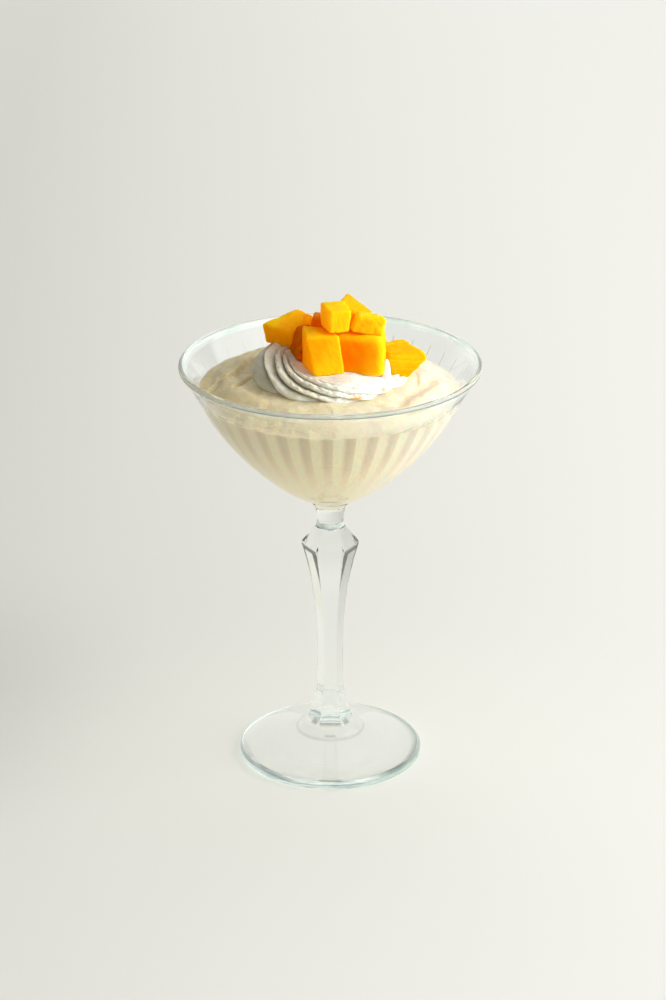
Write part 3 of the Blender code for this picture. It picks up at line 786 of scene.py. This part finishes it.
def cream_point(s, u):
    """A point of the rosette: s runs from the middle of the top (0) to the hem (1), u counts ridges round it."""
    index = int(math.floor(u)) % len(RIDGES)
    v = u - math.floor(u)
    start, depth, crest, grain, full = RIDGES[index]
    end = RIDGES[(index + 1) % len(RIDGES)][0]
    if end < start:
        end += 360.0
    before = RIDGES[index - 1]
    after = RIDGES[(index + 1) % len(RIDGES)]
    w = smooth(1.0 - abs(index + v - 1.0)) if index < 2 else 0.0
    a = math.radians(mix(start, end, v) + mix(monotone(TWIST, s), monotone(TWIST_LEFT, s), w))
    crown = mix(7.0, monotone(CROWN, math.degrees(math.atan2(math.sin(a), math.cos(a)))), smooth(s / 0.3))
    if s < 0.3:
        t = s / 0.3
        r, h = CREAM_RING * t, crown * (0.82 + 0.18 * smooth(t))
        nr, nh = 0.0, 1.0
    else:
        t = (s - 0.3) / 0.7 * math.radians(120)
        r = CREAM_RING + 11.0 * math.sin(t)
        h = crown * 0.34 + crown * 0.66 * math.cos(t)
        nr, nh = math.sin(t), math.cos(t)
    p = v ** (math.log(0.5) / math.log(crest))
    tooth = math.sin(math.pi * min(1.0, max(0.0, p))) ** 0.8
    # neighbouring ridges share the valley between them
    floor = 0.42 * mix(min(depth, before[1]), min(depth, after[1]), v)
    full = mix(full, mix(before[4], after[4], v), abs(v - 0.5))
    strength = smooth((s - full + 0.24) / 0.3) * smooth((1.06 - s) / 0.2)
    out = strength * (depth * tooth * 0.95 - floor)
    out += 0.4 * math.sin(2 * a + 0.6) * smooth(s / 0.5)
    for at, width, less in ((-127, 26, 1.0), (-36, 22, 1.6)):
        turn = (math.degrees(a) - at + 180) % 360 - 180
        out -= less * math.exp(-((turn / width) ** 2)) * smooth((s - 0.4) / 0.4)
    return a, r + out * (nr * 0.92 + 0.08), max(-0.3, h + out * nh * 0.92), mix(grain, mix(before[3], after[3], v), 2 * abs(v - 0.5) * 0.5)


# spots of mango juice on the cream: place and half size, mm
JUICE = (((8.4, -24.3, 145.7), (2.4, 2.2, 0.8)), ((18.7, -16.8, 146.0), (1.2, 1.8, 1.0)))


def make_cream():
    rings = []
    valleys, painted_crest_light = [], []
    per = 30
    steps = 150
    us = [i + k / per for i in range(len(RIDGES)) for k in range(per)]
    for i in range(1, steps + 1):
        s = i / steps
        row = []
        for u in us:
            a, r, h, grain = cream_point(s, u)
            x, y, z = r * math.cos(a), r * math.sin(a), CREAM_BASE_Z - 0.4 + h
            for px, py, width, rise in PEAKS:
                d2 = ((x - px) ** 2 + (y - py) ** 2) / width**2
                if d2 < 6 and h > 1.2:
                    z += rise * math.exp(-((0.8 * d2) ** 2 if rise > 3 else d2))
            n = 0.3 * fbm((x, y, z), 5.0, 2, 9.0) + grain * (0.22 * fbm((x, y, z), 1.7, 3, 4.0) + 0.14 * fbm((x, y, z), 0.8, 2, 14.0))
            g = 1 + n / max(8.0, r)
            row.append((x * g, y * g, z + n * smooth(h / 2)))
            # painted shade: the light does not reach down between the ridges, least of all on the left; the high left
            # side and the first lobe are painted darker too
            v = u - math.floor(u)
            gap = smooth((0.20 - v) / 0.20) + smooth((v - 0.74) / 0.26)
            painted_shade = gap * smooth((s - 0.22) / 0.2) * (1 - 0.5 * smooth((s - 0.68) / 0.2)) * mix(0.10, 0.50, smooth((8 - x) / 14))
            high = 0.09 * smooth((-5 - x) / 7) * smooth((z - CREAM_BASE_Z - 2.5) / 2.5)
            valleys.append(min(0.75, painted_shade + high))
            index = int(math.floor(u))
            if index == 0:  # the first lobe lies in the shade
                valleys[-1] = max(valleys[-1], 0.22)
            # painted light on the crests of ridges 2 to 4
            painted_crest_light.append(math.sin(math.pi * v) ** 3 * smooth((s - 0.3) / 0.2) if 1 <= index <= 4 else 0.0)
        rings.append(row)
    last = rings[-1]
    rings.append([(x * 0.96, y * 0.96, CREAM_BASE_Z - 1.6) for x, y, z in last])
    obj = grid_mesh("piped_cream", rings, (0, 0, CREAM_BASE_Z + 6.5), (0, 0, CREAM_BASE_Z - 1.6))
    juice = obj.data.attributes.new("juice", "FLOAT", "POINT")
    juice.data.foreach_set("value", [max(smooth(1.4 - math.sqrt(sum(((c / MM - m) / w) ** 2 for c, m, w in zip(v.co, at, size)))) for at, size in JUICE) for v in obj.data.vertices])
    valley = obj.data.attributes.new("valley", "FLOAT", "POINT")
    valley.data.foreach_set("value", valleys + [0.0] * (len(obj.data.vertices) - len(valleys)))
    crest = obj.data.attributes.new("crest", "FLOAT", "POINT")
    crest.data.foreach_set("value", painted_crest_light + [0.0] * (len(obj.data.vertices) - len(painted_crest_light)))
    outward(obj)
    shade(obj)
    return obj


# ------------------------------------------------------------------ mango
CUBES = {
    "mango_front": ((-2.7, -8.4, 156.4), (10.8, 10.4, 13.8), (-2, 3, 18), (-0.08, -0.12), (-0.08, 0.02)),
    "mango_front_right": ((10.9, -6.0, 155.2), (15.4, 10.4, 13.6), (-8, 0, -10), (0.04, 0.0), (-0.10, -0.02)),
    "mango_top_front": ((1.7, -6.6, 168.2), (8.6, 8.8, 8.1), (1, 1, 16), (0.06, 0.04), (0.0, -0.02)),
    "mango_top_right": ((13.2, -3.4, 164.8), (10.8, 9.0, 6.6), (-9, 11, 1), (-0.08, 0.0), (0.06, -0.02)),
    "mango_right": ((23.6, 4.9, 148.6), (9.6, 9.7, 8.2), (11, 5, 21), (0.26, 0.05), (0.06, 0.31)),
    "mango_left": ((-14.1, 9.6, 158.1), (11.8, 12.9, 6.8), (17, -3, -39), (0.02, -0.06), (0.09, 0.02)),
    "mango_front_left": ((-9.3, -0.8, 157.4), (6.4, 9.0, 11.4), (0, 12, 19), (-0.08, -0.12), (-0.04, 0.0)),
    "mango_top_left": ((-2.9, -0.2, 164.3), (7.2, 7.0, 5.2), (-5, 8, -6), (-0.04, 0.10), (0.04, -0.02)),
    "mango_top_back": ((7.1, 3.4, 165.6), (10.8, 9.6, 8.2), (1, 33, -16), (0.04, 0.0), (0.02, 0.0)),
    "mango_back": ((0.6, 10.8, 154.9), (11.0, 10.2, 10.4), (0, 4, 10), (-0.04, -0.04), (0.02, 0.02)),
    "mango_back_right": ((13.0, 9.0, 154.0), (10.6, 10.6, 9.8), (6, -5, -20), (-0.05, 0.0), (0.0, 0.02)),
}
# where the knife strayed from a straight block: corner (left or right, front or back, low or high), mm moved
STRAY = {
    "mango_right": {(-1, -1, 1): (-0.8, 0.6, -0.3), (1, -1, 1): (4.0, 0.3, -0.6), (1, -1, -1): (-1.4, -0.7, 0.4), (-1, -1, -1): (-0.5, -0.3, 0.8), (1, 1, 1): (-2.7, -0.1, 1.2), (1, 1, -1): (1.5, 0.3, -1.0)},
    "mango_front": {(-1, 1, 1): (-0.5, 0.3, 1.9), (-1, -1, 1): (-2.0, -0.2, -0.2), (1, -1, -1): (0.4, 0.0, 0.4), (-1, -1, -1): (0.9, 0.0, 0.0)},
    "mango_left": {(-1, -1, 1): (-1.4, 0.0, 1.7), (-1, 1, 1): (4.6, 0.0, 0.7), (1, 1, 1): (0.2, 0.0, 0.4), (-1, -1, -1): (-0.6, 0.0, 0.9)},
    "mango_top_front": {(-1, 1, 1): (0.3, 0.0, 0.6), (1, 1, 1): (0.0, 0.0, 0.4), (-1, -1, 1): (1.2, -0.4, 0.1), (-1, -1, -1): (1.0, -0.2, 0.0)},
    "mango_front_left": {(-1, 1, 1): (0.5, 0.0, -1.4), (-1, -1, 1): (0.8, 1.2, -2.2), (1, -1, 1): (0.0, 0.8, -1.4), (-1, -1, -1): (0.4, 1.0, 0.0)},
}
# brown marks: piece, place, size, all mm
MARKS = (("mango_front_left", -9.6, -5.6, 155.2, 1.1),)
# how orange (0) or yellow (1) each one is, and how round its edges are, mm; the tone is partly ripeness and partly
# painted shade, lowest on mango_front_left and mango_top_left, which lie in shade
TONES = {
    "mango_front": (0.62, 0.9),
    "mango_front_right": (0.30, 2.0),
    "mango_top_front": (0.85, 0.9),
    "mango_top_right": (0.92, 1.3),
    "mango_right": (0.82, 1.3),
    "mango_left": (0.48, 1.0),
    "mango_front_left": (0.02, 1.3),
    "mango_top_left": (0.12, 0.9),
    "mango_top_back": (0.48, 1.0),
    "mango_back": (0.60, 1.1),
    "mango_back_right": (0.60, 1.2),
}


def cube_tone(name, q, base):
    """How yellow the flesh is at a place in the block, as some pieces are riper inside; the tops of mango_front and
    mango_front_right are painted yellower, a painted light where they lie in shade.
    """
    if name == "mango_front_right":
        return mix(0.14, 0.68, smooth((q.x + 0.25) / 1.15)) + (0.50 - 0.25 * smooth((q.x - 0.3) / 0.5)) * smooth((q.z - 0.45) / 0.5) + 0.05 * smooth((-q.x - 0.6) / 0.4) + 0.24 * smooth((-q.z - 0.25) / 0.6)
    if name == "mango_front":
        return base + 0.12 * q.x - 0.16 * q.z + 0.12 * smooth((q.z - 0.88) / 0.12)
    if name == "mango_right":
        return base - 0.18 - 0.20 * smooth((0.4 - q.z) / 1.0)
    if name == "mango_top_front":
        return base + 0.08 * smooth((-q.x - 0.8) / 0.2)
    if name == "mango_left":
        return base - 0.04 + 0.10 * q.z - 0.16 * q.x
    return base


def make_mango(name, seed):
    centre, size, turns, spread, lean = CUBES[name]
    tone, edge = TONES[name]
    stray = STRAY.get(name, {})
    n = 34
    half = Vector(size) / 2
    turn = (Matrix.Rotation(math.radians(turns[2]), 4, "Z") @ Matrix.Rotation(math.radians(turns[1]), 4, "Y") @ Matrix.Rotation(math.radians(turns[0]), 4, "X")).to_3x3()
    corners = {}
    for i in (-1, 1):
        for j in (-1, 1):
            for k in (-1, 1):
                local = Vector((half.x * i * (1 + spread[0] * k) + lean[0] * half.z * k, half.y * j * (1 + spread[1] * k) + lean[1] * half.z * k, half.z * k))
                corners[i, j, k] = Vector(centre) + turn @ local + Vector(stray.get((i, j, k), (0, 0, 0)))

    def block(q):
        p = Vector((0, 0, 0))
        for (i, j, k), c in corners.items():
            p += c * ((1 + i * q.x) * (1 + j * q.y) * (1 + k * q.z) / 8)
        return p

    bm = bmesh.new()
    bmesh.ops.create_cube(bm, size=2.0)
    bmesh.ops.subdivide_edges(bm, edges=bm.edges[:], cuts=n - 1, use_grid_fill=True)
    rng = random.Random(seed)
    grain_turn = Matrix.Rotation(rng.uniform(-0.5, 0.5), 3, "X") @ Matrix.Rotation(rng.uniform(-0.5, 0.5), 3, "Y")
    lumpy = {"mango_top_right": 0.55, "mango_right": 0.45, "mango_left": 0.4}.get(name, 0.26)
    grains, tones, marks, painted_face_glows = [], [], [], []
    for v in bm.verts:
        q = Vector([math.copysign(abs(c) ** 0.8, c) for c in v.co])
        p = Vector((q.x * half.x, q.y * half.y, q.z * half.z))
        inner = Vector([min(max(p[i], -half[i] + edge), half[i] - edge) for i in range(3)])
        d = p - inner
        if d.length > 1e-9:
            d = d.normalized() * edge
        p = inner + d
        u = Vector((p.x / half.x, p.y / half.y, p.z / half.z))
        nrm = d.normalized() if d.length else Vector((0, 0, 1))
        g = grain_turn @ p
        fib = fbm((g.x + seed * 13, g.y, g.z * 0.2), 1.4, 3, seed)
        broad = fbm((p.x, p.y, p.z + seed * 31), 6.0, 3, seed)
        out = 0.13 * fib + lumpy * broad
        if name == "mango_right":  # the stone's fibres tore it in steps
            step = (p.z * 0.8 - p.y * 0.5 + 0.9 * fbm((p.x, p.y, p.z), 5.0, 2, 3.0)) / 2.3
            out += 0.6 * (step - math.floor(step)) * smooth((1 - abs(u.x)) / 0.2)
        if name == "mango_top_right":
            step = (p.x * 0.5 + p.z * 0.7 + 1.1 * fbm((p.x, p.y, p.z), 3.5, 2, 6.0)) / 2.0
            out += 0.2 * (step - math.floor(step)) * smooth((1 - abs(u.x)) / 0.2)
        v.co = (block(u) + (turn @ nrm) * out) * MM
        grains.append(g)
        # painted light on the left faces of mango_front and mango_top_front, less on mango_front_left and
        # mango_top_left
        painted_face_glows.append(smooth((-u.x - 0.8) / 0.2) * smooth((1.02 - abs(u.z)) / 0.15) if name in ("mango_front", "mango_top_front") else {"mango_front_left": -0.32, "mango_top_left": -0.22}.get(name, 0.0))
        # painted shade on all of mango_front_left and mango_top_left, and one brown skin spot from MARKS
        marks.append(max({"mango_front_left": 0.5, "mango_top_left": 0.25}.get(name, 0.0), *[smooth(1.5 - (v.co / MM - Vector(m[1:4])).length / m[4]) for m in MARKS if m[0] == name] or [0.0]))
        tones.append(min(1.0, max(0.0, cube_tone(name, u, tone) + 0.1 * fbm((g.x, g.y, g.z), 7.0, 2, seed))))
    bmesh.ops.recalc_face_normals(bm, faces=bm.faces[:])
    mesh = bpy.data.meshes.new("cube_" + name)
    bm.to_mesh(mesh)
    bm.free()
    obj = bpy.data.objects.new("cube_" + name, mesh)
    bpy.context.scene.collection.objects.link(obj)
    t = mesh.attributes.new("tone", "FLOAT", "POINT")
    t.data.foreach_set("value", tones)
    li = mesh.attributes.new("painted_face_glow", "FLOAT", "POINT")
    li.data.foreach_set("value", painted_face_glows)
    mk = mesh.attributes.new("skin_mark_and_shade", "FLOAT", "POINT")
    mk.data.foreach_set("value", marks)
    gr = mesh.attributes.new("grain", "FLOAT_VECTOR", "POINT")
    gr.data.foreach_set("vector", [c * MM for g in grains for c in (g.x + seed * 20, g.y, g.z)])
    mesh.shade_smooth()
    return obj


# ------------------------------------------------------------------ put together
glass_mat, mousse_mat, cream_mat, mango_mat = glass_material(), mousse_material(), cream_material(), mango_material()


def carry(obj, mat, slot, *nodes):
    obj.data.materials.clear()
    obj.data.materials.append(mat)
    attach(obj, "root")
    if nodes:
        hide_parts(*nodes)


coupe = make_glass()
carry(coupe, glass_mat, "glass", "glass")
# frosted glass with an emission, a painted light, for the foot's edge, the rim and the collar
coupe.data.materials.append(glass_material("glass_edge", 0.42, 0.05, 0.03, streaks=((0.93, 0.97, 0.95), (0.80, 0.89, 0.86), (0.40, 0.53, 0.50)), left=0.22))
coupe.data.materials.append(painted_dark_reflection_material())
coupe.data.materials.append(glass_material("glass_rim", 0.12, 0.055, 0.02, streaks=((0.98, 1.0, 0.99), (0.93, 0.98, 0.965), (0.74, 0.85, 0.82))))
coupe.data.materials.append(glass_material("glass_collar", 0.62, 0.29, 0.1, streaks=((0.42, 0.46, 0.44), (0.37, 0.42, 0.40), (0.29, 0.34, 0.32))))
coupe.data.materials.append(glass_material("glass_fillet", 0.0, 0.0, 0.12, 1.45))
coupe.data.materials.append(glass_material("glass_under", 0.0, 0.0, 0.15, 1.1))
for p in coupe.data.polygons:
    x, y, z = p.center / MM
    r, a = math.hypot(x, y), abs(math.degrees(math.atan2(y, x)))
    outline = min(a, 180 - a)
    if z > 147.95:
        p.material_index = 3
    elif 88.9 < z < 90.5 and y < 0:
        p.material_index = 4
    elif z < 3.3 and r < 18:
        p.material_index = 6
    elif 9.3 < z < 13.9 and r < 14:
        p.material_index = 5
    elif r > FOOT_R - FOOT_EDGE / 2 + 0.2 and z < 5:
        p.material_index = 1
    # painted reflection: opaque dark glass at the sides of the neck and the corners of the knob
    elif 92.9 < z < 96.4 and outline < 30 * smooth((z - 92.8) / 3.6) - 4:
        p.material_index = 2
    elif 83.0 < z < 84.4 and outline < 5.5:
        p.material_index = 2
carry(make_mousse(), mousse_mat, "mousse", "mousse")
carry(make_cream(), cream_mat, "cream", "cream")
for number, name in enumerate(CUBES):
    carry(make_mango(name, number + 1), mango_mat, "mango", name)

# ------------------------------------------------------------------ stage
floor_mesh = bpy.data.meshes.new("floor")
floor_mesh.from_pydata([(-6, -6, -0.0001), (6, -6, -0.0001), (6, 10, -0.0001), (-6, 10, -0.0001)], [], [(0, 1, 2, 3)])
floor = bpy.data.objects.new("floor", floor_mesh)
bpy.context.scene.collection.objects.link(floor)
floor_mesh.materials.append(floor_material())


def area_light(name, where, towards, size, power, colour=(1, 1, 1)):
    data = bpy.data.lights.new(name, "AREA")
    data.shape = "RECTANGLE"
    data.size, data.size_y = size
    data.energy = power
    data.color = colour
    obj = bpy.data.objects.new(name, data)
    obj.location = where
    obj.rotation_euler = (Vector(towards) - Vector(where)).to_track_quat("-Z", "Y").to_euler()
    obj.visible_camera = False
    bpy.context.scene.collection.objects.link(obj)
    return obj


lamp = area_light("key", (1.643, -0.41, 0.963), (0, 0, 0.1), (1.6, 1.4), 35.5, (1.0, 0.99, 0.97))
lamp.visible_glossy = False
lamp.visible_transmission = False

world = bpy.data.worlds.new("studio")
bpy.context.scene.world = world
world.use_nodes = True
wn = world.node_tree
wn.nodes.clear()
w_out = wn.nodes.new("ShaderNodeOutputWorld")
w_bg = wn.nodes.new("ShaderNodeBackground")
w_co = wn.nodes.new("ShaderNodeTexCoord")
w_sep = wn.nodes.new("ShaderNodeSeparateXYZ")
wn.links.new(w_co.outputs["Generated"], w_sep.inputs[0])
azimuth = math_node(wn, "MULTIPLY", math_node(wn, "ARCTAN2", w_sep.outputs["Y"], w_sep.outputs["X"]), 180 / math.pi)
height = math_node(wn, "MULTIPLY", math_node(wn, "ARCSINE", w_sep.outputs["Z"]), 180 / math.pi)


def edge_step(value, at, soft, rising=True):
    m = wn.nodes.new("ShaderNodeMapRange")
    m.interpolation_type = "SMOOTHSTEP"
    m.inputs["From Min"].default_value = at - soft / 2
    m.inputs["From Max"].default_value = at + soft / 2
    m.inputs["To Min"].default_value = 0.0 if rising else 1.0
    m.inputs["To Max"].default_value = 1.0 if rising else 0.0
    wn.links.new(value, m.inputs["Value"])
    return m.outputs["Result"]


def panel(az0, az1, az_soft, el0, el1, el_soft, strength):
    """A bright part of the room between these directions, with soft edges."""
    across = math_node(wn, "MULTIPLY", edge_step(azimuth, az0, az_soft), edge_step(azimuth, az1, az_soft, False))
    up = math_node(wn, "MULTIPLY", edge_step(height, el0, el_soft), edge_step(height, el1, el_soft, False))
    return math_node(wn, "MULTIPLY", math_node(wn, "MULTIPLY", across, up), strength)


room = panel(-30, 24, 8, 6, 50, 10, 1.5)  # the window on the right
room = math_node(wn, "ADD", room, panel(-115, -20, 50, 0, 55, 20, 0.8))  # the pale wall in front on the right
room = math_node(wn, "ADD", room, panel(35, 145, 40, -10, 26, 16, 0.6))  # the backdrop behind
room = math_node(wn, "ADD", room, panel(45, 135, 40, 26, 82, 16, 0.6))  # and above it
room = math_node(wn, "ADD", room, math_node(wn, "MULTIPLY", edge_step(height, 60, 30), 0.15))
w_path = wn.nodes.new("ShaderNodeLightPath")
seen = math_node(wn, "SUBTRACT", 1.0, w_path.outputs["Is Diffuse Ray"])
room = math_node(wn, "ADD", room, math_node(wn, "ADD", math_node(wn, "MULTIPLY", seen, 0.30), 0.12))
tint = wn.nodes.new("ShaderNodeCombineColor")
wn.links.new(room, tint.inputs[0])
wn.links.new(room, tint.inputs[1])
wn.links.new(math_node(wn, "MULTIPLY", room, 0.97), tint.inputs[2])
wn.links.new(tint.outputs[0], w_bg.inputs["Color"])
w_bg.inputs["Strength"].default_value = 1.0
wn.links.new(w_bg.outputs[0], w_out.inputs["Surface"])

cam_data = bpy.data.cameras.new("camera")
cam_data.sensor_width = 36.0
cam_data.lens = 2914.03 / 1000 * 36.0
cam_data.clip_end = 50
cam_data.shift_x = 0.00275
cam = bpy.data.objects.new("camera", cam_data)
cam.location = (0, -0.94656, 0.49270)
cam.rotation_euler = (math.pi / 2 - 0.39489, 0, 0)
bpy.context.scene.collection.objects.link(cam)
bpy.context.scene.camera = cam

sc = bpy.context.scene
sc.view_settings.view_transform = "Standard"
sc.view_settings.look = "None"
sc.view_settings.exposure = 0.0
